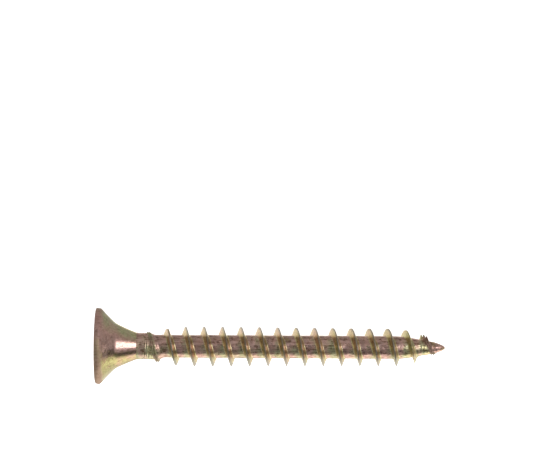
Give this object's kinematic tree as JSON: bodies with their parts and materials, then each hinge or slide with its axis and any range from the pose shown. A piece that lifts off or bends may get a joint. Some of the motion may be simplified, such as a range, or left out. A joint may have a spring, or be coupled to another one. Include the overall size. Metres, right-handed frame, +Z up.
{
  "type": "wood screw",
  "caption": "Fully threaded wood screw with a countersunk bugle head, a cross recess, a short plain neck, a coarse V thread and a tapered point, yellow zinc plated steel",
  "frame": {"origin": "centre of the flat face of the head, where the driver bit goes in", "axes": "the screw lies along X: +X out of the head's face, -X towards the point; +Z up and +Y across are square to its axis"},
  "size_m": [0.0388, 0.0084, 0.0085],
  "materials": {
    "head_plating": "glossy yellow-passivated zinc, olive to pink tint",
    "shank_plating": "yellow-passivated zinc, slightly rough from the rolling dies",
    "thread_plating": "yellow-passivated zinc, crests rubbed brighter"
  },
  "bodies": {
    "root": {"head": "head_plating", "neck": "shank_plating", "core": "shank_plating", "thread": "thread_plating", "point": "shank_plating"}
  },
  "joints": []
}
